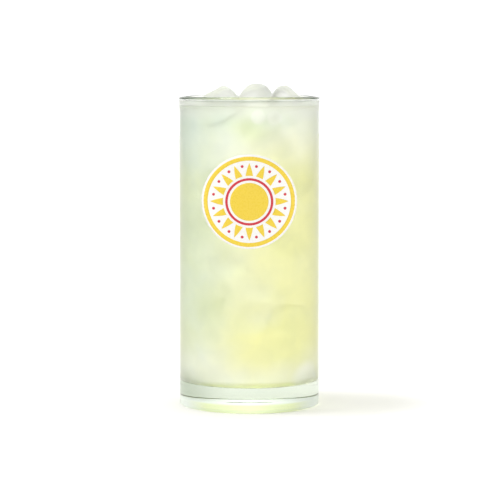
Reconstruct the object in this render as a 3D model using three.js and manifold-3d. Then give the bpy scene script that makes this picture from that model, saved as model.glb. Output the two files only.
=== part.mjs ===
// A straight tall tumbler with a heavy base, filled with iced lemonade.
// Millimetres, +Z up, the tumbler stands on z = 0 with its axis on the Z axis.
import * as THREE from "three";
import { mergeVertices } from "three/addons/utils/BufferGeometryUtils.js";
import Module from "manifold-3d";

// Driving dimensions of the tumbler
const RADIUS = 35;
const HEIGHT = 154.4;
const WALL = 2.4;
const FLOOR = 12.3; // top of the solid base, at the axis
const HEEL = 0.8; // round of the outer bottom edge
const FILLET = 3; // round between the floor and the inner wall
const BEAD = 0.35; // how far the fire-polished rim stands out from the wall
const BEAD_REACH = 2.2; // how far below the rim's round the wall starts to swell
const PUSH_UP = 1.1; // hollow of the underside, at the axis
const BEARING = 24.5; // inner radius of the flat ring that it stands on

// Driving dimensions of the filling
const LEVEL = 149.6;
const GAP = 0.3; // clearance between the drink and the tumbler
const ICE_GAP = 0.35; // clearance between the drink and a piece of ice

// Fineness
const AROUND = 64; // flat sides round the tumbler
const ARC_STEPS = 5; // steps in a quarter round
const HOLLOW_STEPS = 4; // steps from the underside's middle to the bearing ring
const ICE_AROUND = 26;
const ICE_DOWN = 15;

// Each piece of ice was frozen as a small block of this size, and has turned about X, then Y, then Z.
// at and top place the middle and the highest point of the turned piece.
const ICE = [
  { name: "ice_left", seed: 1, size: [15.5, 15.5, 18], turn: [22, 60, 20], at: [-12.8, -4.5], top: 159.5 },
  { name: "ice_middle", seed: 2, size: [15, 14.5, 16.5], turn: [17, -4, -30], at: [3.8, 7.5], top: 160.5 },
  { name: "ice_right", seed: 3, size: [12.5, 15.5, 17], turn: [2, 39, -16], at: [16, -7], top: 159.8 },
  { name: "ice_front", seed: 4, size: [15, 13, 17], turn: [8, 12, -54], at: [5.4, -21.6], top: 151.4 },
  { name: "ice_back_left", seed: 5, size: [16, 14.5, 17], turn: [-8, 12, 32], at: [-15.3, 16], top: 152.8 },
  { name: "ice_back_right", seed: 6, size: [14, 13, 16], turn: [14, -10, 38], at: [21.4, 12], top: 152.2 },
];
const ICE_SOFTNESS = 7; // the higher, the sharper a block's edges
const ICE_CHIPS = 3; // corners of each block that have melted to a flat

const innerRadius = RADIUS - WALL;
const wasm = await Module();
wasm.setup();

// Points on a round about (r, z), from one angle to another, in degrees from the outward direction.
function arc(r, z, radius, from, to, steps) {
  return Array.from({ length: steps + 1 }, (_, i) => {
    const angle = THREE.MathUtils.degToRad(from + ((to - from) * i) / steps);
    return new THREE.Vector2(r + radius * Math.cos(angle), z + radius * Math.sin(angle));
  });
}

// A profile of (radius, height) points turned about the Z axis.
function turned(profile) {
  return new THREE.LatheGeometry(profile, AROUND).rotateX(Math.PI / 2);
}

// The hollow of the underside, from its middle to the bearing ring: a raised cosine.
function hollow() {
  return Array.from({ length: HOLLOW_STEPS + 1 }, (_, i) => {
    const share = i / HOLLOW_STEPS;
    return new THREE.Vector2(BEARING * share, PUSH_UP * Math.cos((share * Math.PI) / 2) ** 2);
  });
}

// From the underside's middle, out over the bearing ring and up the outer wall,
// round the rim, and down inside to the middle of the floor.
function tumblerProfile() {
  const point = (r, z) => new THREE.Vector2(r, z);
  const rimRadius = (WALL + BEAD) / 2;
  const rimCentre = HEIGHT - rimRadius;
  return [
    ...hollow(),
    ...arc(RADIUS - HEEL, HEEL, HEEL, -90, 0, ARC_STEPS),
    point(RADIUS, rimCentre - BEAD_REACH),
    ...arc(innerRadius + rimRadius, rimCentre, rimRadius, 0, 180, ARC_STEPS + 1),
    ...arc(innerRadius - FILLET, FLOOR + FILLET, FILLET, 0, -90, ARC_STEPS),
    point(0, FLOOR),
  ];
}

// The drink stands clear of the floor and the wall by GAP, and is flat on top.
function drinkProfile() {
  const reach = innerRadius - GAP;
  const bottom = FLOOR + GAP;
  return [
    new THREE.Vector2(0, bottom),
    ...arc(reach - FILLET, bottom + FILLET, FILLET, -90, 0, ARC_STEPS),
    new THREE.Vector2(reach, LEVEL),
    new THREE.Vector2(0, LEVEL),
  ];
}

// The distance from a block's middle to its surface in one direction: a box whose faces and
// chipped corners are joined softly, as melting does, with a shallow ripple all over.
function iceReach(direction, { size, seed }) {
  const { x, y, z } = direction;
  const half = size.map((side) => side / 2);
  let sum = 0;
  [x, y, z].forEach((part, i) => {
    sum += Math.abs(part / half[i]) ** ICE_SOFTNESS;
  });
  for (let k = 0; k < ICE_CHIPS; k += 1) {
    const chip = new THREE.Vector3(
      Math.sin(1.7 * seed + 2.1 * k),
      Math.cos(2.3 * seed + 1.3 * k),
      Math.sin(0.9 * seed + 2.9 * k + 1),
    ).normalize();
    const corner = Math.abs(chip.x) * half[0] + Math.abs(chip.y) * half[1] + Math.abs(chip.z) * half[2];
    const depth = corner * (0.7 + 0.06 * Math.sin(3.1 * seed + k));
    sum += Math.max(0, direction.dot(chip) / depth) ** ICE_SOFTNESS;
  }
  const swell = 0.012 * Math.sin(6 * x + seed) * Math.cos(5 * y - seed);
  const ridge = 0.01 * Math.sin(8 * z + 2 * seed + 3 * x);
  return sum ** (-1 / ICE_SOFTNESS) * (1 + swell + ridge);
}

// One piece of ice in its place; grow makes the larger form that its hollow in the drink has.
function iceGeometry(ice, grow = 0) {
  const geometry = new THREE.SphereGeometry(1, ICE_AROUND, ICE_DOWN);
  const position = geometry.getAttribute("position");
  const direction = new THREE.Vector3();
  for (let i = 0; i < position.count; i += 1) {
    direction.fromBufferAttribute(position, i).normalize();
    direction.multiplyScalar(iceReach(direction, ice) + grow);
    position.setXYZ(i, direction.x, direction.y, direction.z);
  }
  const [aboutX, aboutY, aboutZ] = ice.turn.map(THREE.MathUtils.degToRad);
  geometry.rotateX(aboutX).rotateY(aboutY).rotateZ(aboutZ);
  geometry.computeBoundingBox();
  const { min, max } = geometry.boundingBox;
  return geometry.translate(
    ice.at[0] - (min.x + max.x) / 2,
    ice.at[1] - (min.y + max.y) / 2,
    ice.top + grow - max.z,
  );
}

// A closed geometry as a solid that can be cut.
function solid(geometry) {
  const bare = geometry.clone().deleteAttribute("normal").deleteAttribute("uv");
  const merged = mergeVertices(bare, 1e-4);
  const corners = merged.index.array;
  const triangles = [];
  for (let i = 0; i < corners.length; i += 3) {
    const [a, b, c] = corners.slice(i, i + 3);
    if (a !== b && b !== c && c !== a) triangles.push(a, b, c);
  }
  const mesh = new wasm.Mesh({
    numProp: 3,
    vertProperties: new Float32Array(merged.getAttribute("position").array),
    triVerts: new Uint32Array(triangles),
  });
  return new wasm.Manifold(mesh);
}

// A cut solid back as a geometry.
function geometryOf(manifold) {
  const { vertProperties, triVerts } = manifold.getMesh();
  const geometry = new THREE.BufferGeometry();
  geometry.setAttribute("position", new THREE.BufferAttribute(vertProperties, 3));
  geometry.setIndex(new THREE.BufferAttribute(triVerts, 1));
  geometry.computeVertexNormals();
  return geometry;
}

// The drink up to its level, with a hollow where each piece of ice floats in it.
function drinkGeometry() {
  const hollows = ICE.map((ice) => solid(iceGeometry(ice, ICE_GAP)));
  const cut = hollows.reduce((drink, hollow) => drink.subtract(hollow), solid(turned(drinkProfile())));
  return geometryOf(cut);
}

const clearGlass = new THREE.MeshStandardMaterial({
  color: 0xe9f1e2,
  roughness: 0.05,
  metalness: 0,
  transparent: true,
  opacity: 0.35,
});
const cloudyLemonade = new THREE.MeshStandardMaterial({ color: 0xeff1bd, roughness: 0.3, metalness: 0 });
const wetIce = new THREE.MeshStandardMaterial({
  color: 0xf2f4ea,
  roughness: 0.15,
  metalness: 0,
  transparent: true,
  opacity: 0.6,
});

// A piece of the drink, named for what it is.
function piece(name, geometry, material) {
  const mesh = new THREE.Mesh(geometry, material);
  mesh.name = name;
  return mesh;
}

const glassOfLemonade = new THREE.Group();
glassOfLemonade.add(piece("tumbler", turned(tumblerProfile()), clearGlass));
glassOfLemonade.add(piece("lemonade", drinkGeometry(), cloudyLemonade));
for (const ice of ICE) {
  glassOfLemonade.add(piece(ice.name, iceGeometry(ice), wetIce));
}

export default glassOfLemonade;
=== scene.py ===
"""Iced lemonade in a straight tall tumbler: the glass, the drink, its ice and a plain sunburst print.

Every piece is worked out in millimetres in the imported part's own frame (+Z up, the side that faces
the camera is -Y) and becomes metres when its mesh is made.
"""

import math

import bmesh
import bpy
import numpy as np
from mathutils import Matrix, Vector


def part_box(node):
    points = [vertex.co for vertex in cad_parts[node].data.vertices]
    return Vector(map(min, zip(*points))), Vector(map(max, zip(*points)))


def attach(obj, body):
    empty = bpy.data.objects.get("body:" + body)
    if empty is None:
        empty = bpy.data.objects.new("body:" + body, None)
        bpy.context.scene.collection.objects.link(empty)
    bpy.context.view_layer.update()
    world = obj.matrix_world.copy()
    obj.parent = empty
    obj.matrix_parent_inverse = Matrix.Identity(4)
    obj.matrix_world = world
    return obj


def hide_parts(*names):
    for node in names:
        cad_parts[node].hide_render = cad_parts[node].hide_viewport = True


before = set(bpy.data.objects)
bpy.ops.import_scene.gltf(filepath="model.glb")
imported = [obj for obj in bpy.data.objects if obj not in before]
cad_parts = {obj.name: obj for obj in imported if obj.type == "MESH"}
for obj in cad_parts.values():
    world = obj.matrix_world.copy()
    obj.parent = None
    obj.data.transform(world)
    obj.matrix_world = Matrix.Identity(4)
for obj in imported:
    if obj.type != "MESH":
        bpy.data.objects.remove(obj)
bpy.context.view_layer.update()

bl_info = {
    "name": "Glass of Lemonade",
    "version": (1, 0, 0),
    "blender": (4, 5, 0),
    "location": "View3D > Sidebar > Lemonade",
    "description": "Builds a tumbler of iced lemonade with a printed sunburst",
    "category": "Add Mesh",
}

MM = 0.001


def in_mm(box):
    """A box's two corners in millimetres."""
    low, high = box
    return np.array(low) / MM, np.array(high) / MM


TUMBLER_BOX = in_mm(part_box("tumbler"))
DRINK_BOX = in_mm(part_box("lemonade"))

# Each floating block of ice: its seed, its size before it turned, and its turns about X, Y and Z.
# Its place is the middle of the solid of the same name.
FLOATING_ICE = {
    "ice_left": (1, (15.5, 15.5, 18.0), (22, 60, 20)),
    "ice_middle": (2, (15.0, 14.5, 16.5), (17, -4, -30)),
    "ice_right": (3, (12.5, 15.5, 17.0), (2, 39, -16)),
    "ice_front": (4, (15.0, 13.0, 17.0), (8, 12, -54)),
    "ice_back_left": (5, (16.0, 14.5, 17.0), (-8, 12, 32)),
    "ice_back_right": (6, (14.0, 13.0, 16.0), (14, -10, 38)),
}
ICE_CHIPS = 3  # corners of each block that have melted to a flat
ICE_HOLLOW = 0.04  # how far a block's hollow in the drink stands off it, in mm

SUNK_SEED = 7  # of the draw that scatters the sunk blocks
SUNK_SHAPES = 10  # seed of the first sunk block's own shape
SUNK_TRIES = 4000  # places drawn before the last sunk blocks are given up
SUNK_SPACING = 19.5  # least distance between the middles of two blocks, in mm
SUNK_FROM_WALL = 9.5  # least distance from a sunk block's middle to the wall, in mm
SUNK_HEIGHTS = (24, 136)  # of their middles, in mm
SUNK_SIZES = (11.5, 14.5)  # of their sides, in mm
SUNK_TURN = 60  # the most that one has turned about each axis, in degrees
SUNK_CORE = 0.1  # share of the tumbler's section, round the axis, that stays free of their middles

# Where more or less syrup has gathered, partly real syrup and partly a painted yellow glow of light
# gathered
# low on the right: x and z of its middle and its radius, in mm, and how much.
SYRUP_AND_GLOW = [
    (0.5, 70, 12, 0.15),
    (-3, 28, 20, 0.45),
    (18, 34, 20, 0.3),
    (26, 112, 14, 0.1),
    (5, 47, 13, -0.25),
    (-1, 140, 14, 0.45),
]
# Where the drink has painted shade, dimmer and cooler, in the same way.
PAINTED_SHADE_PATCHES = [(1, 141, 15, 0.75), (18, 144, 9, 0.5), (-11, 146, 10, 0.5)]
# Painted highlights, where ice lies against the wall and catches the light, and a painted bright patch low
# on the
# right: x, y, z and radius, in mm.
PAINTED_HIGHLIGHTS = [(4.2, -32.3, 145.3, 4.8), (12.0, -30.3, 144.8, 5), (27, -17, 13, 13)]

# Painted tones of the thick base, each the product of fades: shade on its left and, at the front, a yellow
# glow of gathered light on its foot and shade along its bottom edge. A fade is its axis, the places in mm
# where it starts and ends, and the shares of the tone there.
# Painted shade on the left of the base, below its floor.
LEFT_SHADE_FADES = [("X", -36, -6, 1, 0), ("Z", 3.5, 7, 0, 1)]
# The front middle of the base, where the painted glow and the painted bottom-edge shade lie.
PAINTED_FRONT_FADES = [("Y", -14, 0, 1, 0), ("X", -33, -20, 0, 1), ("X", 20, 33, 1, 0)]
# Low on the foot the base takes a painted yellow glow of gathered light.
FOOT_GLOW_FADE = ("Z", 3.6, 4.8, 1, 0)
# Lowest on the base, at the front, lies painted shade along its bottom edge.
OUTLINE_SHADE_FADE = ("Z", 1.2, 2.0, 1, 0)

# The tumbler's wall, in mm.
WAVE_STARTS = 5  # how far below the rim the wave of its inside starts
WAVE_GROWS = 12  # how much lower the wave is full
BEAD_REACH = 3  # how far below the middle of the rim's round the outside starts to swell
BEAD_ANGLE = -14  # where the rim's round takes over from the swell, in degrees from the horizontal
NEXT_TO_ROUND = 1  # gap between the end of a round and the first point of the straight after it

# The drink at the wall, in mm.
MENISCUS_WIDTH = 0.9  # how fast the meniscus falls off
CRISP_EDGE = 0.6  # how far down the short faces reach that keep the top edge crisp
FILM_ABOVE_LEVEL = 0.3  # where the film on the wall starts
FILM_BELOW_RIM = 0.4  # where it ends, below the middle of the rim's round
FILM_INTO_WALL = 0.1
WET_ABOVE_LEVEL = 0.1  # how far above the level the ice is wetted

# The print: its parts as shares of its half size, and how far the underside and the top of each film
# stand off the glass, in mm.
SUN_RADIUS = 0.4
SUN_RING = (0.87, 0.955)
RED_RING = (0.45, 0.5)
RAY_FOOT = 0.55
RAY_LENGTH = 0.27
RAY_WIDTH = 0.72  # as a share of the turn from one ray to the next
DOT_PLACE = 0.76
DOT_RADIUS = 0.03
GROUND_FILM = {"low": 0.02, "high": 0.09}
INK_FILM = {"low": 0.06, "high": 0.13}

# How strongly glass and drink bend light, how strongly a metre of each takes on its colour, and what one
# surface leaves of a lamp's light.
GLASS_INDEX = 1.52
DRINK_INDEX = 1.34
GLASS_DENSITY = 11.0
DRINK_DENSITY = 1.5
GLASS_SHADOW = (0.9, 0.91, 0.89)
DRINK_SHADOW = (0.8, 0.8, 0.74)
NO_SHADOW = (1, 1, 1)

RIM_GLANCING = (0.4, 0.8)  # painted shade on the rim: how far it turns away from the eye where the shade starts, and where it is full
PIT_DEPTH = 0.6  # of the ice's surface, in mm
GATHERED_RADII = (22, 31)  # between which the light under the base fades out, in mm

AROUND = 192  # flat sides of a turned piece
SENSOR_WIDTH = 36  # of the camera, in mm

# Settings and values that several nodes share.
SMOOTH = {"interpolation_type": "SMOOTHSTEP"}
PRODUCT = {"operation": "MULTIPLY"}
SUM = {"operation": "ADD"}
LARGER = {"operation": "MAXIMUM"}
MIXED = {"data_type": "RGBA"}
TINTED = {"data_type": "RGBA", "blend_type": "MULTIPLY"}
WHITE = (1, 1, 1, 1)


def length(name, description, default, **limits):
    """A length in millimetres that a user may change."""
    return bpy.props.FloatProperty(name=name, description=description, default=default, **limits)


def colour(name, description, hex_value):
    """A colour that a user may change, given as an sRGB hex value."""
    return bpy.props.FloatVectorProperty(
        name=name,
        description=description,
        subtype="COLOR",
        size=3,
        min=0,
        max=1,
        default=linear(hex_value),
    )


def linear(hex_value):
    """An sRGB hex colour, such as "#E9F1E2", as linear red, green and blue."""
    parts = [int(hex_value[i : i + 2], 16) / 255 for i in (1, 3, 5)]
    return [c / 12.92 if c <= 0.04045 else ((c + 0.055) / 1.055) ** 2.4 for c in parts]


def opaque(rgb):
    """A linear colour with the fourth number that a socket asks for."""
    return (*rgb, 1)


class TumblerSettings(bpy.types.PropertyGroup):
    """Sizes and tints of the empty tumbler."""

    radius: length("Radius", "Outside radius of the wall, in mm", 35.0, min=20, max=60)
    height: length("Height", "Height of the rim, in mm", float(TUMBLER_BOX[1][2]), min=60, max=250)
    wall: length("Wall", "Thickness of the wall, in mm", 2.4, min=1, max=6)
    floor: length("Base", "Thickness of the solid base, in mm", 12.3, min=2, max=30)
    heel: length("Heel", "Radius of the outer bottom edge, in mm", 0.5, min=0.5, max=8)
    fillet: length("Fillet", "Radius between the floor and the inner wall, in mm", 3.0, min=0.5, max=8)
    bead: length("Bead", "How far the rim stands out from the wall, in mm", 0.35, min=0, max=1)
    push_up: length("Push-up", "Hollow of the underside at the axis, in mm", 1.1, min=0, max=4)
    bearing: length("Bearing", "Inner radius of the ring that it stands on, in mm", 24.5, min=10, max=34)
    wave: length("Wave", "Unevenness of the blown inner wall, in mm", 0.1, min=0, max=0.5)
    polished: length("Polished rim", "How far down the flame has rounded the rim, in mm", 2.4, min=0, max=8)
    tint: colour("Tint", "Colour that thick glass takes", "#CFE0C6")
    # Painted shade: the rim's tone where it is seen at a glancing angle.
    edge: colour("Edge", "Colour of the rim where it is seen edge on", "#CDD4C7")
    # Painted shade: the darker tone of the base's left side.
    left_shade: colour("Smoke", "Tone of the thick base on its darker side", "#9CA898")
    # Painted light: a yellow glow of light gathered in the foot, at its front.
    foot: colour("Foot", "Tone of the base at the front of its foot", "#F7F9AE")
    # Painted shade: a darker tone along the base's bottom edge, at the front.
    outline: colour("Outline", "Tone of the base at its bottom edge", "#DDE2E6")


class DrinkSettings(bpy.types.PropertyGroup):
    """Level and colours of the lemonade."""

    level: length("Level", "Height of the lemonade, in mm", float(DRINK_BOX[1][2]), min=20, max=240)
    into_wall: length("Into the wall", "How far the drink reaches into the wall, in mm", 0.18, min=0, max=1)
    meniscus: length("Meniscus", "How far the drink climbs the wall, in mm", 0.4, min=0, max=3)
    film: length("Film", "Thickness of the film of drink above the level, in mm", 0.2, min=0.05, max=1)
    pale: colour("Watered colour", "Colour where melting ice thins the drink", "#F8FAF6")
    deep: colour("Full colour", "Colour low in the glass", "#F4F2AE")
    depth: colour("Depth", "Colour that light takes on in the depth of the drink", "#E7ECAA")
    # Painted shade: the cooler, dimmer tone laid over the left side and over a few patches.
    cool_shade: colour("Shade", "Tint of the side away from the lemon syrup", "#E2EFEA")
    pulp: colour("Pulp", "Tint of the pulp's denser drifts", "#F6F7FA")
    streaks: colour("Streaks", "Colour of the denser streaks in the film", "#F6FAEE")


class IceSettings(bpy.types.PropertyGroup):
    """Shape and colour of the ice."""

    softness: bpy.props.FloatProperty(
        name="Softness", description="The higher, the sharper the blocks' edges", default=7.0, min=2, max=20
    )
    sunk: bpy.props.IntProperty(
        name="Sunk blocks", description="Blocks wholly under the surface", default=15, min=0, max=40
    )
    frost: colour("Frost", "Colour of the cloudy parts", "#FCFDFA")


class PrintSettings(bpy.types.PropertyGroup):
    """Size and colours of the printed sunburst."""

    half_width: length("Half width", "From the middle to one side, seen from the front, in mm", 23.3, min=5)
    half_height: length("Half height", "From the middle to the top edge, in mm", 23.0, min=5)
    centre: length("Height", "Height of its middle, in mm", 103.9, min=20)
    rays: bpy.props.IntProperty(name="Rays", description="Rays of the sun", default=16, min=5, max=40)
    white: colour("White", "Colour of the ground", "#F8F7F4")
    yellow: colour("Yellow", "Colour of the sun", "#F2D23F")
    red: colour("Red", "Colour of the ring and the dots", "#D2303F")


class StageSettings(bpy.types.PropertyGroup):
    """Camera, floor and light."""

    distance: length("Distance", "From the camera to the glass's axis, in mm", 1097.3, min=100)
    camera_height: length("Camera height", "Height of the camera, in mm", 176.3)
    camera_right: length("Camera to the right", "Sideways place of the camera, in mm", 0.35)
    down: bpy.props.FloatProperty(
        name="Look down", description="Angle below the horizontal", default=0.08997, subtype="ANGLE"
    )
    lens: bpy.props.FloatProperty(
        name="Lens", description="Focal length on a sensor 36 mm wide", default=158.04, unit="CAMERA"
    )
    floor: colour("Floor", "Colour of the floor", "#EFEEEB")
    gathered: colour("Gathered light", "Colour of the light that the base gathers under itself", "#FFFEB4")
    gathering: bpy.props.FloatProperty(
        name="Gathering", description="Strength of the light under the base", default=0.95, min=0
    )
    key: bpy.props.FloatProperty(name="Key", description="Strength of the lamp", default=1.3, min=0)
    key_width: bpy.props.FloatProperty(
        name="Key width", description="How wide the lamp looks", default=math.radians(13), subtype="ANGLE"
    )
    key_lean: bpy.props.FloatProperty(
        name="Key lean", description="How far left of overhead", default=math.atan(0.36), subtype="ANGLE"
    )
    backdrop: bpy.props.FloatProperty(
        name="Backdrop", description="Brightness that the camera sees behind the glass", default=1.3, min=0
    )
    front_wall: bpy.props.FloatProperty(
        name="Front", description="Brightness of the room before the glass", default=1.16
    )
    back_wall: bpy.props.FloatProperty(
        name="Back", description="Brightness of the room behind the glass", default=1.7
    )


def arc(r, z, radius, start, end, steps):
    """Points (r, z) on a circle about (r, z), from one angle to another in degrees."""
    angle = np.radians(np.linspace(start, end, steps + 1))
    return np.stack([r + radius * np.cos(angle), z + radius * np.sin(angle)], -1)


def line(start, end, steps):
    """Points (r, z) evenly spaced from start to end, without the end."""
    share = np.linspace(0, 1, steps, endpoint=False)[:, None]
    return np.array(start) * (1 - share) + np.array(end) * share


def turned(profile):
    """Places of a profile of (r, z) points turned once about Z: x = r cos a and y = r sin a."""
    angle = np.linspace(0, 2 * np.pi, AROUND + 1)
    r, z = profile[:, :1], profile[:, 1:]
    return np.stack([r * np.cos(angle), r * np.sin(angle), z + 0 * angle], -1)


def directions(around, down):
    """Unit vectors over the whole sphere, by the angle from +Z and the angle round it."""
    polar = np.linspace(0, np.pi, down + 1)[:, None]
    angle = np.linspace(0, 2 * np.pi, around + 1)[None, :]
    return np.stack(
        [np.sin(polar) * np.cos(angle), np.sin(polar) * np.sin(angle), np.cos(polar) + 0 * angle], -1
    )


def piece_from_grids(name, grids, materials, smooth=True):
    """Makes one object from grids of places in mm. Each grid is an array of rows by columns by 3 whose
    neighbours join into quads; rows and columns that meet are merged, which closes seams and poles."""
    places, quads, start = [], [], 0
    for grid in grids:
        rows, columns = grid.shape[:2]
        index = start + np.arange(rows * columns).reshape(rows, columns)
        quads.append(
            np.stack([index[:-1, :-1], index[:-1, 1:], index[1:, 1:], index[1:, :-1]], -1).reshape(-1, 4)
        )
        places.append(grid.reshape(-1, 3))
        start += rows * columns
    mesh = bpy.data.meshes.new(name)
    mesh.from_pydata((np.concatenate(places) * MM).tolist(), [], np.concatenate(quads).tolist())
    closed = bmesh.new()
    closed.from_mesh(mesh)
    bmesh.ops.remove_doubles(closed, verts=closed.verts, dist=1e-6)
    bmesh.ops.dissolve_degenerate(closed, edges=closed.edges, dist=1e-7)
    bmesh.ops.recalc_face_normals(closed, faces=closed.faces)
    closed.to_mesh(mesh)
    closed.free()
    mesh.polygons.foreach_set("use_smooth", np.full(len(mesh.polygons), smooth))
    for material in materials:
        mesh.materials.append(material)
    made = bpy.data.objects.new(name, mesh)
    bpy.context.scene.collection.objects.link(made)
    return made


def use_second_material(made, lowest, highest):
    """Gives a piece's second material to the faces whose middles lie between two heights, in mm."""
    middles = np.empty(len(made.data.polygons) * 3)
    made.data.polygons.foreach_get("center", middles)
    height = middles[2::3] / MM
    chosen = (height > lowest) & (height < highest)
    made.data.polygons.foreach_set("material_index", chosen.astype(np.int32))


def finish_piece(made, slot, *nodes):
    """Lets a piece ride on the part's only body, and hides the solids that it stands for."""
    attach(made, "root")
    if nodes:
        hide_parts(*nodes)
    return made


def wall_wave(angle, z, amount):
    """Unevenness of the blown inner wall: three slow waves round the axis that drift with height."""
    return amount * (
        0.5 * np.sin(2 * angle + 1.0 + 0.011 * z)
        + 0.3 * np.sin(3 * angle - 0.04 * z)
        + 0.2 * np.sin(5 * angle + 0.07 * z)
    )


def wave_weight(z, r, sizes):
    """How much of the wall's wave a point takes: none at the axis or near the rim, all of it lower down."""
    lower = sizes.height - WAVE_STARTS - z
    return np.clip(lower / WAVE_GROWS, 0, 1) * np.clip(r / (sizes.radius - sizes.wall), 0, 1)


def push_out(grid, weight, amount):
    """Moves a turned grid away from the axis by the wall's wave times each row's weight."""
    angle = np.arctan2(grid[..., 1], grid[..., 0])
    r = np.hypot(grid[..., 0], grid[..., 1])
    moved = r + weight[:, None] * wall_wave(angle, grid[..., 2], amount)
    share = np.where(r > 1e-9, moved / np.maximum(r, 1e-9), 1)
    return np.stack([grid[..., 0] * share, grid[..., 1] * share, grid[..., 2]], -1)


def tumbler_profile(sizes):
    """The tumbler's section from the middle of its underside round to the middle of its floor, and how
    much of the inner wall's wave each point takes. The underside is hollowed by a raised cosine."""
    inner = sizes.radius - sizes.wall
    rim = (sizes.wall + sizes.bead) / 2
    rim_z = sizes.height - rim
    under_r = np.linspace(0, sizes.bearing, 18, endpoint=False)
    under_z = sizes.push_up * np.cos(np.pi * under_r / sizes.bearing / 2) ** 2
    outside = [
        np.stack([under_r, under_z], -1),
        line((sizes.bearing, 0), (sizes.radius - sizes.heel, 0), 5),
        arc(sizes.radius - sizes.heel, sizes.heel, sizes.heel, -90, 0, 14),
        line((sizes.radius, sizes.heel + NEXT_TO_ROUND), (sizes.radius, rim_z - BEAD_REACH), 40),
        arc(inner + rim, rim_z, rim, BEAD_ANGLE, 180, 22),
    ]
    inside = [
        line((inner, rim_z - NEXT_TO_ROUND), (inner, sizes.floor + sizes.fillet), 60),
        arc(inner - sizes.fillet, sizes.floor + sizes.fillet, sizes.fillet, 0, -90, 12),
        line((inner - sizes.fillet - NEXT_TO_ROUND, sizes.floor), (0, sizes.floor), 14),
        np.array([[0, sizes.floor]]),
    ]
    outside, inside = np.concatenate(outside), np.concatenate(inside)
    weight = wave_weight(inside[:, 1], inside[:, 0], sizes)
    return np.concatenate([outside, inside]), np.concatenate([np.zeros(len(outside)), weight])


def turn_matrix(turns):
    """The rotation that turns about X, then Y, then Z, by angles in degrees."""
    ax, ay, az = np.radians(turns)
    about_x = np.array([[1, 0, 0], [0, np.cos(ax), -np.sin(ax)], [0, np.sin(ax), np.cos(ax)]])
    about_y = np.array([[np.cos(ay), 0, np.sin(ay)], [0, 1, 0], [-np.sin(ay), 0, np.cos(ay)]])
    about_z = np.array([[np.cos(az), -np.sin(az), 0], [np.sin(az), np.cos(az), 0], [0, 0, 1]])
    return about_z @ about_y @ about_x


def ice_reach(direction, seed, size, softness):
    """How far a block's surface is from its middle in each direction: a box whose faces and chipped
    corners are joined by a power sum, as melting rounds them, times one plus two low ripples."""
    half = np.array(size) / 2
    total = (np.abs(direction / half) ** softness).sum(-1)
    for k in range(ICE_CHIPS):
        chip = np.array(
            [np.sin(1.7 * seed + 2.1 * k), np.cos(2.3 * seed + 1.3 * k), np.sin(0.9 * seed + 2.9 * k + 1)]
        )
        chip /= np.linalg.norm(chip)
        depth = (np.abs(chip) * half).sum() * (0.7 + 0.06 * np.sin(3.1 * seed + k))
        total = total + np.maximum(0, direction @ chip / depth) ** softness
    x, y, z = np.moveaxis(direction, -1, 0)
    swell = 0.012 * np.sin(6 * x + seed) * np.cos(5 * y - seed)
    ridge = 0.01 * np.sin(8 * z + 2 * seed + 3 * x)
    return total ** (-1 / softness) * (1 + swell + ridge)


def ice_grid(seed, size, turns, middle, softness, grow=0.0, around=72, down=48):
    """A block of ice as a grid over all directions, turned, with the middle of its box at middle."""
    direction = directions(around, down)
    reach = ice_reach(direction, seed, size, softness)
    block = direction * reach[..., None] @ turn_matrix(turns).T
    offset = (block.min((0, 1)) + block.max((0, 1))) / 2
    grown = direction * (reach + grow)[..., None] @ turn_matrix(turns).T
    return grown - offset + np.array(middle)


def middle_of(name):
    """The middle of a solid's box, in mm."""
    return np.mean(in_mm(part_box(name)), 0)


def add_node(tree, kind, settings=None, sockets=None, **named):
    """Adds a node. Settings are its own properties. Sockets are filled by their place, or by their name
    with underscores for spaces: another node's output is linked, and anything else is a value."""
    made = tree.nodes.new(kind)
    for name, value in (settings or {}).items():
        setattr(made, name, value)
    by_name = {name.replace("_", " "): value for name, value in named.items()}
    for place, value in {**(sockets or {}), **by_name}.items():
        if isinstance(value, bpy.types.NodeSocket):
            tree.links.new(value, made.inputs[place])
        else:
            made.inputs[place].default_value = value
    return made


def blotches(width):
    """The scale of a noise whose blotches are about this many millimetres across."""
    return 1 / (width * MM)


def new_material(name):
    """An empty node material and its nodes."""
    material = bpy.data.materials.new(name)
    material.use_nodes = True
    material.node_tree.nodes.clear()
    return material, material.node_tree


def let_light_through(tree, surface, tint):
    """Rays on their way to a lamp pass the surface with this tint, so that what is behind it is lit."""
    path = add_node(tree, "ShaderNodeLightPath")
    clear = add_node(tree, "ShaderNodeBsdfTransparent", Color=opaque(tint))
    choice = {0: path.outputs["Is Shadow Ray"], 1: surface, 2: clear.outputs[0]}
    return add_node(tree, "ShaderNodeMixShader", sockets=choice).outputs[0]


def faded(tree, place, fades):
    """A share that is the product of smooth fades. Each is given as its axis, the places in mm where it
    starts and ends, and the shares there."""
    parts = add_node(tree, "ShaderNodeSeparateXYZ", Vector=place)
    share = 1.0
    for axis, start, end, first, last in fades:
        fade = add_node(
            tree, "ShaderNodeMapRange", SMOOTH, Value=parts.outputs[axis],
            From_Min=start * MM, From_Max=end * MM, To_Min=first, To_Max=last,
        )
        share = add_node(tree, "ShaderNodeMath", PRODUCT, {0: share, 1: fade.outputs[0]}).outputs[0]
    return share


def near(tree, place, middle, core, radius, strength):
    """A share that is strength within core of a place, and falls smoothly to none at radius, all in mm."""
    middle = tuple(part * MM for part in middle)
    apart = add_node(tree, "ShaderNodeVectorMath", {"operation": "DISTANCE"}, {0: place, 1: middle})
    fade = add_node(
        tree, "ShaderNodeMapRange", SMOOTH, Value=apart.outputs["Value"],
        From_Min=core * MM, From_Max=radius * MM, To_Min=strength, To_Max=0.0,
    )
    return fade.outputs[0]


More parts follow.
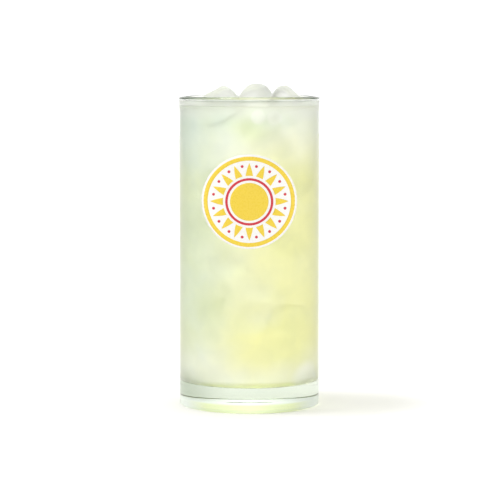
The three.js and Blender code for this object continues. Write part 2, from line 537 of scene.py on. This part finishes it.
def finish_glass(material, tree, tone, tint):
    """Clear, smooth soda-lime glass with a tone at its surface and a tint that deepens with thickness."""
    surface = add_node(
        tree, "ShaderNodeBsdfPrincipled", Base_Color=tone, Roughness=0.0, IOR=GLASS_INDEX,
        Transmission_Weight=1.0,
    )
    depth = add_node(tree, "ShaderNodeVolumeAbsorption", Color=opaque(tint), Density=GLASS_DENSITY)
    lit = let_light_through(tree, surface.outputs[0], GLASS_SHADOW)
    add_node(tree, "ShaderNodeOutputMaterial", Surface=lit, Volume=depth.outputs[0])
    return material


def soda_lime_glass(sizes):
    """Soda-lime glass, blown into a mould: clear and glossy, faintly green where it is thick. Its base has
    painted shade on its left and, at the front, a painted yellow glow of gathered light on its foot and
    painted shade along its bottom edge."""
    material, tree = new_material("soda_lime_glass")
    place = add_node(tree, "ShaderNodeTexCoord").outputs["Object"]
    below_floor = ("Z", sizes.floor, sizes.floor + 1, 1, 0)
    tone = WHITE
    # Painted shade on the left; at the front, a painted yellow glow on the foot and painted shade along the
    # bottom edge.
    for fades, more in [
        ([*LEFT_SHADE_FADES, below_floor], sizes.left_shade),
        ([FOOT_GLOW_FADE, *PAINTED_FRONT_FADES], sizes.foot),
        ([OUTLINE_SHADE_FADE, *PAINTED_FRONT_FADES], sizes.outline),
    ]:
        share = faded(tree, place, fades)
        tone = add_node(tree, "ShaderNodeMix", TINTED, {0: share, 6: tone, 7: opaque(more)}).outputs[2]
    return finish_glass(material, tree, tone, sizes.tint)


def fire_polished_rim(sizes):
    """The same glass, rounded by a flame, with painted shade: where the rim is seen at a glancing angle,
    its tone darkens.
    """
    material, tree = new_material("fire_polished_rim")
    facing = add_node(tree, "ShaderNodeLayerWeight", Blend=0.5).outputs["Facing"]
    start, end = RIM_GLANCING
    glancing = add_node(tree, "ShaderNodeMapRange", SMOOTH, Value=facing, From_Min=start, From_Max=end)
    painted_edge_shade = {0: glancing.outputs[0], 6: WHITE, 7: opaque(sizes.edge)}
    tone = add_node(tree, "ShaderNodeMix", MIXED, painted_edge_shade)
    return finish_glass(material, tree, tone.outputs[2], sizes.tint)


def cloudy_lemonade(drink, floor):
    """Cloudy lemonade, pressed juice and syrup in water: its fine pulp blurs what comes through. It is
    palest at the top, where melting ice has watered it down, and on the left, and yellowest low and right,
    partly from settled syrup and partly as a painted glow of light gathered on the right. Over that lie
    gathered syrup, painted shade on the left and in a few patches, drifts of pulp, painted highlights where
    ice lies against the wall, and, just over the floor, clear water."""
    material, tree = new_material("cloudy_lemonade")
    place = add_node(tree, "ShaderNodeTexCoord").outputs["Object"]
    parts = add_node(tree, "ShaderNodeSeparateXYZ", Vector=place)
    flat = add_node(tree, "ShaderNodeCombineXYZ", X=parts.outputs["X"], Z=parts.outputs["Z"]).outputs[0]
    top = drink.level

    swirl = add_node(
        tree, "ShaderNodeTexNoise", Vector=place, Scale=blotches(26.3),
        Detail=2.0, Roughness=0.45, Distortion=0.5,
    )
    drift = add_node(
        tree, "ShaderNodeMapRange", Value=swirl.outputs["Fac"],
        From_Min=0.3, From_Max=0.7, To_Min=-0.2, To_Max=0.2,
    )
    downward = ("Z", top - 4, top - 40, 0.12, 1)
    # Yellower to the right: partly syrup, partly a painted glow of light gathered on that side.
    rightward = ("X", -30, 26, 0.28, 1)
    off_floor = ("Z", floor, floor + 30, 0.45, 1)
    syrup = faded(tree, place, [downward, rightward, off_floor])
    gathered = [near(tree, flat, (x, 0, z), 0, radius, strength) for x, z, radius, strength in SYRUP_AND_GLOW]
    for more in [drift.outputs[0], *gathered]:
        syrup = add_node(tree, "ShaderNodeMath", SUM, {0: syrup, 1: more}).outputs[0]
    sweetened = {0: syrup, 6: opaque(drink.pale), 7: opaque(drink.deep)}
    body = add_node(tree, "ShaderNodeMix", MIXED, sweetened)

    # Painted shade: cooler and dimmer on the left, less so near the floor, and over a few patches.
    shade_share = faded(tree, place, [("X", -34, 6, 1, 0), ("Z", floor, floor + 40, 0.2, 1)])
    for x, z, radius, strength in PAINTED_SHADE_PATCHES:
        more = near(tree, flat, (x, 0, z), 0, radius, strength)
        shade_share = add_node(tree, "ShaderNodeMath", SUM, {0: shade_share, 1: more}).outputs[0]
    dimmed = {0: shade_share, 6: body.outputs[2], 7: opaque(drink.cool_shade)}
    cooled = add_node(tree, "ShaderNodeMix", TINTED, dimmed)

    pulp = add_node(
        tree, "ShaderNodeTexNoise", Vector=place, Scale=blotches(9.0),
        Detail=2.0, Roughness=0.5, Distortion=0.3,
    )
    dense = add_node(tree, "ShaderNodeMapRange", Value=pulp.outputs["Fac"], From_Min=0.35, From_Max=0.65)
    drifting = {0: dense.outputs[0], 6: cooled.outputs[2], 7: opaque(drink.pulp)}
    clouded = add_node(tree, "ShaderNodeMix", TINTED, drifting)

    # Clearer near the top and just over the floor; whitened at the painted highlights.
    clear = faded(tree, place, [("Z", top - 9, top - 2, 0, 0.5)])
    settled = faded(tree, place, [("Z", floor + 0.3, floor + 1.5, 0.7, 0)])
    highlight_spots = [near(tree, place, (x, y, z), radius / 2, radius, 1.0) for x, y, z, radius in PAINTED_HIGHLIGHTS]
    for more in [settled, *highlight_spots]:
        clear = add_node(tree, "ShaderNodeMath", LARGER, {0: clear, 1: more}).outputs[0]
    seen = add_node(tree, "ShaderNodeMix", MIXED, {0: clear, 6: clouded.outputs[2], 7: WHITE})

    surface = add_node(
        tree, "ShaderNodeBsdfPrincipled", Base_Color=seen.outputs[2], Roughness=0.35, IOR=DRINK_INDEX,
        Transmission_Weight=0.94,
    )
    depth = add_node(tree, "ShaderNodeVolumeAbsorption", Color=opaque(drink.depth), Density=DRINK_DENSITY)
    lit = let_light_through(tree, surface.outputs[0], DRINK_SHADOW)
    add_node(tree, "ShaderNodeOutputMaterial", Surface=lit, Volume=depth.outputs[0])
    return material


def clinging_film(drink):
    """The film of lemonade that clings to the wall above the level: thin and pale, a little streaky."""
    material, tree = new_material("lemonade_film")
    place = add_node(tree, "ShaderNodeTexCoord").outputs["Object"]
    streak = add_node(tree, "ShaderNodeTexNoise", Vector=place, Scale=blotches(6.3), Detail=3.0)
    streaky = {0: streak.outputs["Fac"], 6: opaque(drink.streaks), 7: WHITE}
    tone = add_node(tree, "ShaderNodeMix", MIXED, streaky)
    surface = add_node(
        tree, "ShaderNodeBsdfPrincipled", Base_Color=tone.outputs[2], Roughness=0.3, IOR=DRINK_INDEX,
        Transmission_Weight=0.97,
    )
    lit = let_light_through(tree, surface.outputs[0], NO_SHADOW)
    add_node(tree, "ShaderNodeOutputMaterial", Surface=lit)
    return material


def melting_ice(name, frost, index, roughness, transmission, pitted=0.25):
    """Machine ice that has begun to melt: clear but evenly clouded by trapped air, wet outside and
    slightly pitted."""
    material, tree = new_material(name)
    place = add_node(tree, "ShaderNodeTexCoord").outputs["Object"]
    pits = add_node(
        tree, "ShaderNodeTexNoise", Vector=place, Scale=blotches(6.3), Detail=4.0, Roughness=0.6
    )
    bump = add_node(
        tree, "ShaderNodeBump", Height=pits.outputs["Fac"], Strength=pitted, Distance=PIT_DEPTH * MM
    )
    surface = add_node(
        tree, "ShaderNodeBsdfPrincipled", Normal=bump.outputs["Normal"], Base_Color=opaque(frost),
        Roughness=roughness, IOR=index, Transmission_Weight=transmission,
    )
    lit = let_light_through(tree, surface.outputs[0], NO_SHADOW)
    add_node(tree, "ShaderNodeOutputMaterial", Surface=lit)
    return material


def ice_contact():
    """Where the drink wets a block of ice there is no surface to see, so this one passes all light."""
    material, tree = new_material("ice_contact")
    clear = add_node(tree, "ShaderNodeBsdfTransparent")
    add_node(tree, "ShaderNodeOutputMaterial", Surface=clear.outputs[0])
    return material


def enamel(name, base):
    """Fired enamel screen print: opaque, even and glossy, its gloss slightly uneven in places."""
    material, tree = new_material(name)
    place = add_node(tree, "ShaderNodeTexCoord").outputs["Object"]
    mesh_marks = add_node(tree, "ShaderNodeTexNoise", Vector=place, Scale=blotches(1.1), Detail=2.0)
    gloss = add_node(
        tree, "ShaderNodeMapRange", Value=mesh_marks.outputs["Fac"],
        From_Min=0.3, From_Max=0.7, To_Min=0.22, To_Max=0.34,
    )
    surface = add_node(
        tree, "ShaderNodeBsdfPrincipled", Roughness=gloss.outputs[0], Base_Color=opaque(base), IOR=1.5
    )
    add_node(tree, "ShaderNodeOutputMaterial", Surface=surface.outputs[0])
    return material


def studio_board(stage):
    """Matt white studio board. The tumbler's base gathers light on it, which the renderer doesn't trace
    through glass, so the board gives off that light itself, under the base alone."""
    material, tree = new_material("studio_board")
    place = add_node(tree, "ShaderNodeTexCoord").outputs["Object"]
    reach = add_node(tree, "ShaderNodeVectorMath", {"operation": "LENGTH"}, {0: place})
    full, none = GATHERED_RADII
    pool = add_node(
        tree, "ShaderNodeMapRange", Value=reach.outputs["Value"],
        From_Min=full * MM, From_Max=none * MM, To_Min=stage.gathering, To_Max=0.0,
    )
    surface = add_node(
        tree, "ShaderNodeBsdfPrincipled", Base_Color=opaque(stage.floor), Roughness=0.9,
        Specular_IOR_Level=0.1, Emission_Color=opaque(stage.gathered), Emission_Strength=pool.outputs[0],
    )
    add_node(tree, "ShaderNodeOutputMaterial", Surface=surface.outputs[0])
    return material


def soft_room(stage):
    """The light of a white room: brightest behind the glass, dimmer in the corners, slightly dimmer on
    the left, overhead and below the horizon. Its brightness is the product of these fades."""
    world = bpy.data.worlds.new("soft_room")
    world.use_nodes = True
    tree = world.node_tree
    direction = add_node(tree, "ShaderNodeTexCoord").outputs["Generated"]
    x, y, z = add_node(tree, "ShaderNodeSeparateXYZ", Vector=direction).outputs
    diagonal = add_node(tree, "ShaderNodeMath", PRODUCT, {0: x, 1: y}).outputs[0]
    corner = add_node(tree, "ShaderNodeMath", {"operation": "ABSOLUTE"}, {0: diagonal}).outputs[0]
    brightness = 1.0
    for source, start, end, first, last in [
        (y, -1.0, 1.0, stage.front_wall, stage.back_wall),
        (corner, 0.0, 0.5, 1.0, 0.65),
        (x, -1.0, 1.0, 0.9, 1.1),
        (z, 0.0, 1.0, 1.0, 0.7),
        (z, -0.06, 0.0, 0.95, 1.0),
    ]:
        fade = add_node(
            tree, "ShaderNodeMapRange", Value=source,
            From_Min=start, From_Max=end, To_Min=first, To_Max=last,
        )
        factors = {0: brightness, 1: fade.outputs[0]}
        brightness = add_node(tree, "ShaderNodeMath", PRODUCT, factors).outputs[0]
    seen = add_node(tree, "ShaderNodeLightPath").outputs["Is Camera Ray"]
    strength = add_node(
        tree, "ShaderNodeMix", {"data_type": "FLOAT"}, {0: seen, 2: brightness, 3: stage.backdrop}
    )
    sky = tree.nodes["Background"]
    sky.inputs["Color"].default_value = WHITE
    tree.links.new(strength.outputs[0], sky.inputs["Strength"])
    return world


class BuildTumbler(bpy.types.Operator):
    """Turn the smooth tumbler with its heavy base, blown inner wall and fire-polished rim"""

    bl_idname = "lemonade.build_tumbler"
    bl_label = "Tumbler"

    def execute(self, context):
        sizes = context.scene.lemonade_tumbler
        profile, weight = tumbler_profile(sizes)
        grid = push_out(turned(profile), weight, sizes.wave)
        made = piece_from_grids("tumbler_glass", [grid], [soda_lime_glass(sizes), fire_polished_rim(sizes)])
        use_second_material(made, sizes.height - sizes.polished, sizes.height)
        finish_piece(made, "clear_glass", "tumbler")
        return {"FINISHED"}


class BuildLemonade(bpy.types.Operator):
    """Fill the tumbler with lemonade that climbs the wall a little and is hollow round each floating
    block of ice
    """

    bl_idname = "lemonade.build_lemonade"
    bl_label = "Lemonade"

    def execute(self, context):
        sizes = context.scene.lemonade_tumbler
        drink = context.scene.lemonade_drink
        softness = context.scene.lemonade_ice.softness
        inner = sizes.radius - sizes.wall
        floor = sizes.floor - drink.into_wall
        reach = inner + drink.into_wall
        # The rings of the surface lie closer together near the wall, where the meniscus bends it.
        surface_r = reach * (1 - np.linspace(0, 1, 90) ** 1.25)
        surface_z = drink.level + drink.meniscus * np.exp(-(reach - surface_r) / MENISCUS_WIDTH)
        crisp = drink.level - CRISP_EDGE
        profile = np.concatenate(
            [
                line((0, floor), (inner - sizes.fillet - NEXT_TO_ROUND, floor), 14),
                arc(inner - sizes.fillet, floor + sizes.fillet, sizes.fillet + drink.into_wall, -90, 0, 12),
                line((reach, floor + sizes.fillet + 2 * NEXT_TO_ROUND), (reach, crisp), 60),
                line((reach, crisp), (reach, drink.level), 4),
                np.stack([surface_r, surface_z], -1),
            ]
        )
        grid = push_out(turned(profile), wave_weight(profile[:, 1], profile[:, 0], sizes), sizes.wave)
        looks = [cloudy_lemonade(drink, sizes.floor), ice_contact()]
        made = piece_from_grids("lemonade_body", [grid], looks)
        hollows = []
        for name, (seed, size, turns) in FLOATING_ICE.items():
            hollow = ice_grid(seed, size, turns, middle_of(name), softness, grow=ICE_HOLLOW)
            hollows.append(piece_from_grids(name + "_hollow", [hollow], looks))
            use_second_material(hollows[-1], 0, math.inf)
        cut_away(made, hollows)
        finish_piece(made, "lemonade", "lemonade")
        return {"FINISHED"}


def cut_away(made, cutters):
    """Cuts each cutter out of a piece and removes the cutters."""
    for cutter in cutters:
        cut = made.modifiers.new("cut", "BOOLEAN")
        cut.operation = "DIFFERENCE"
        cut.solver = "EXACT"
        cut.object = cutter
    ready = bpy.context.evaluated_depsgraph_get()
    mesh = bpy.data.meshes.new_from_object(made.evaluated_get(ready))
    made.modifiers.clear()
    made.data = mesh
    for cutter in cutters:
        bpy.data.objects.remove(cutter)


class BuildFilm(bpy.types.Operator):
    """Wet the wall above the drink with a film that thins out to nothing under the rim"""

    bl_idname = "lemonade.build_film"
    bl_label = "Film on the wall"

    def execute(self, context):
        sizes = context.scene.lemonade_tumbler
        drink = context.scene.lemonade_drink
        inner = sizes.radius - sizes.wall
        low = drink.level + FILM_ABOVE_LEVEL
        high = sizes.height - (sizes.wall + sizes.bead) / 2 - FILM_BELOW_RIM
        outer_r, inner_r = inner + FILM_INTO_WALL, inner - drink.film
        section = [
            line((outer_r, low), (outer_r, high), 6),
            line((outer_r, high), (inner_r, low), 6),
            line((inner_r, low), (outer_r, low), 2),
            [[outer_r, low]],
        ]
        grid = turned(np.concatenate(section))
        made = piece_from_grids("lemonade_film", [grid], [clinging_film(drink)], smooth=False)
        finish_piece(made, "lemonade")
        return {"FINISHED"}


class BuildFloatingIce(bpy.types.Operator):
    """Float the blocks of ice that break the surface of the drink"""

    bl_idname = "lemonade.build_floating_ice"
    bl_label = "Floating ice"

    def execute(self, context):
        ice = context.scene.lemonade_ice
        level = context.scene.lemonade_drink.level
        # Under the surface the ice bends light hardly at all, because the drink is nearly as dense.
        wetted = melting_ice("wetted_ice", ice.frost, index=1.02, roughness=0.1, transmission=0.95)
        dry = melting_ice("melting_ice", ice.frost, index=1.31, roughness=0.4, transmission=0.7, pitted=0.5)
        for name, (seed, size, turns) in FLOATING_ICE.items():
            grid = ice_grid(seed, size, turns, middle_of(name), ice.softness)
            made = piece_from_grids(name + "_block", [grid], [dry, wetted])
            use_second_material(made, 0, level + WET_ABOVE_LEVEL)
            finish_piece(made, "ice", name)
        return {"FINISHED"}


class BuildSunkIce(bpy.types.Operator):
    """Scatter the blocks of ice that are wholly under the surface, by a seeded draw"""

    bl_idname = "lemonade.build_sunk_ice"
    bl_label = "Sunk ice"

    def execute(self, context):
        ice = context.scene.lemonade_ice
        sizes = context.scene.lemonade_tumbler
        draw = np.random.default_rng(SUNK_SEED)
        taken = [middle_of(name) for name in FLOATING_ICE]
        room = sizes.radius - sizes.wall - SUNK_FROM_WALL
        grids = []
        for _ in range(SUNK_TRIES):
            if len(grids) == ice.sunk:
                break
            angle, r = draw.uniform(0, 2 * np.pi), room * math.sqrt(draw.uniform(SUNK_CORE, 1))
            place = np.array([r * np.cos(angle), r * np.sin(angle), draw.uniform(*SUNK_HEIGHTS)])
            if min(np.linalg.norm(place - other) for other in taken) < SUNK_SPACING:
                continue
            taken.append(place)
            size = draw.uniform(*SUNK_SIZES, 3)
            turns = draw.uniform(-SUNK_TURN, SUNK_TURN, 3)
            seed = SUNK_SHAPES + len(grids)
            grids.append(ice_grid(seed, size, turns, place, ice.softness, around=48, down=32))
        look = melting_ice("sunk_ice", ice.frost, index=1.03, roughness=0.15, transmission=0.93)
        finish_piece(piece_from_grids("sunk_ice", grids, [look]), "ice")
        return {"FINISHED"}


def wrapped(u, v, height, settings, radius):
    """Wraps a flat drawing of unit radius round the tumbler's front: seen from the front, x and z follow
    the drawing, and height is how far the film stands off the glass."""
    sideways = np.arcsin(np.clip(u * settings.half_width / radius, -1, 1))
    out = radius + height
    return np.stack(
        [out * np.sin(sideways), -out * np.cos(sideways), settings.centre + v * settings.half_height], -1
    )


def film(inner, outer, middle, settings, radius, low, high, span=(0, 2 * np.pi), steps=128, rings=10):
    """One printed shape as a closed film: about middle, from radius inner(a) to outer(a) over the angles
    in span. The section runs out along the film's underside and back along its top."""
    angle = np.linspace(*span, steps + 1)[None, :]
    share = np.linspace(0, 1, rings + 1)[:, None]
    reach = inner(angle) * (1 - share) + outer(angle) * share
    u = middle[0] + reach * np.cos(angle)
    v = middle[1] + reach * np.sin(angle)
    under = wrapped(u, v, low, settings, radius)
    top = wrapped(u, v, high, settings, radius)
    return np.concatenate([under, top[::-1], under[:1]])


def even(value):
    """A radius that is the same at every angle."""
    return lambda angle: np.full_like(angle, value)


class BuildPrint(bpy.types.Operator):
    """Print a plain sunburst on the front: a white ground, a yellow sun with rays, a red ring and dots"""

    bl_idname = "lemonade.build_print"
    bl_label = "Printed sunburst"

    def execute(self, context):
        settings = context.scene.lemonade_print
        radius = context.scene.lemonade_tumbler.radius
        wall = {"settings": settings, "radius": radius}
        ink = {**INK_FILM, **wall}
        centre = (0.0, 0.0)
        ground = [film(even(0.0), even(1.0), centre, rings=24, **GROUND_FILM, **wall)]
        made = piece_from_grids("print_ground", ground, [enamel("white_enamel", settings.white)])
        finish_piece(made, "print_white")

        sun = [
            film(even(0.0), even(SUN_RADIUS), centre, **ink),
            film(*map(even, SUN_RING), centre, rings=3, **ink),
        ]
        dots = [film(*map(even, RED_RING), centre, rings=2, **ink)]
        turn = 2 * np.pi / settings.rays
        half = RAY_WIDTH / 2 * turn
        for k in range(settings.rays):
            middle = math.pi / 2 + k * turn

            def tip(angle, middle=middle):
                return RAY_FOOT + RAY_LENGTH * (1 - np.abs(angle - middle) / half)

            span = (middle - half, middle + half)
            sun.append(film(even(RAY_FOOT), tip, centre, span=span, steps=12, rings=4, **ink))
            between = middle + turn / 2
            dot = (DOT_PLACE * math.cos(between), DOT_PLACE * math.sin(between))
            dots.append(film(even(0.0), even(DOT_RADIUS), dot, steps=24, rings=2, **ink))
        made = piece_from_grids("print_sun", sun, [enamel("yellow_enamel", settings.yellow)])
        finish_piece(made, "print_yellow")
        made = piece_from_grids("print_dots", dots, [enamel("red_enamel", settings.red)])
        finish_piece(made, "print_red")
        return {"FINISHED"}


class BuildStage(bpy.types.Operator):
    """Set the camera, the white floor and the soft light"""

    bl_idname = "lemonade.build_stage"
    bl_label = "Stage"

    def execute(self, context):
        scene = context.scene
        stage = scene.lemonade_stage
        camera = bpy.data.objects.new("camera", bpy.data.cameras.new("camera"))
        camera.data.sensor_width = SENSOR_WIDTH
        camera.data.lens = stage.lens
        camera.location = (stage.camera_right * MM, -stage.distance * MM, stage.camera_height * MM)
        camera.rotation_euler = (math.pi / 2 - stage.down, 0, 0)
        scene.collection.objects.link(camera)
        scene.camera = camera

        side, front, back, below = 1600, -1500, 3500, -0.1
        sheet = np.array(
            [[[-side, front, below], [-side, back, below]], [[side, front, below], [side, back, below]]]
        )
        piece_from_grids("studio_floor", [sheet], [studio_board(stage)])

        lamp = bpy.data.lights.new("key", "SUN")
        lamp.energy = stage.key
        lamp.angle = stage.key_width
        key = bpy.data.objects.new("key", lamp)
        key.rotation_euler = (0, -stage.key_lean, 0)
        scene.collection.objects.link(key)
        scene.world = soft_room(stage)

        # Light crosses many surfaces of glass, drink and ice before it reaches the room.
        scene.cycles.max_bounces = 32
        scene.cycles.diffuse_bounces = 10
        scene.cycles.glossy_bounces = 10
        scene.cycles.transmission_bounces = 24
        scene.cycles.transparent_max_bounces = 32
        scene.view_settings.view_transform = "Standard"
        return {"FINISHED"}


class LemonadePanel(bpy.types.Panel):
    """Lists the steps that build the drink"""

    bl_idname = "VIEW3D_PT_lemonade"
    bl_label = "Glass of Lemonade"
    bl_space_type = "VIEW_3D"
    bl_region_type = "UI"
    bl_category = "Lemonade"

    def draw(self, context):
        for name, (settings, operators) in SECTIONS.items():
            box = self.layout.box()
            for prop in settings.__annotations__:
                box.prop(getattr(context.scene, name), prop)
            for operator in operators:
                box.operator(operator.bl_idname)


# Each section of the panel: its settings, and the steps that read them, in the order they run.
SECTIONS = {
    "lemonade_stage": (StageSettings, [BuildStage]),
    "lemonade_tumbler": (TumblerSettings, [BuildTumbler]),
    "lemonade_drink": (DrinkSettings, [BuildLemonade, BuildFilm]),
    "lemonade_ice": (IceSettings, [BuildFloatingIce, BuildSunkIce]),
    "lemonade_print": (PrintSettings, [BuildPrint]),
}


def register():
    for name, (settings, operators) in SECTIONS.items():
        bpy.utils.register_class(settings)
        setattr(bpy.types.Scene, name, bpy.props.PointerProperty(type=settings))
        for operator in operators:
            bpy.utils.register_class(operator)
    bpy.utils.register_class(LemonadePanel)


def unregister():
    bpy.utils.unregister_class(LemonadePanel)
    for name, (settings, operators) in reversed(SECTIONS.items()):
        for operator in operators:
            bpy.utils.unregister_class(operator)
        delattr(bpy.types.Scene, name)
        bpy.utils.unregister_class(settings)


def main():
    register()
    for _, operators in SECTIONS.values():
        for operator in operators:
            group, step = operator.bl_idname.split(".")
            getattr(getattr(bpy.ops, group), step)()


if __name__ == "__main__":
    main()
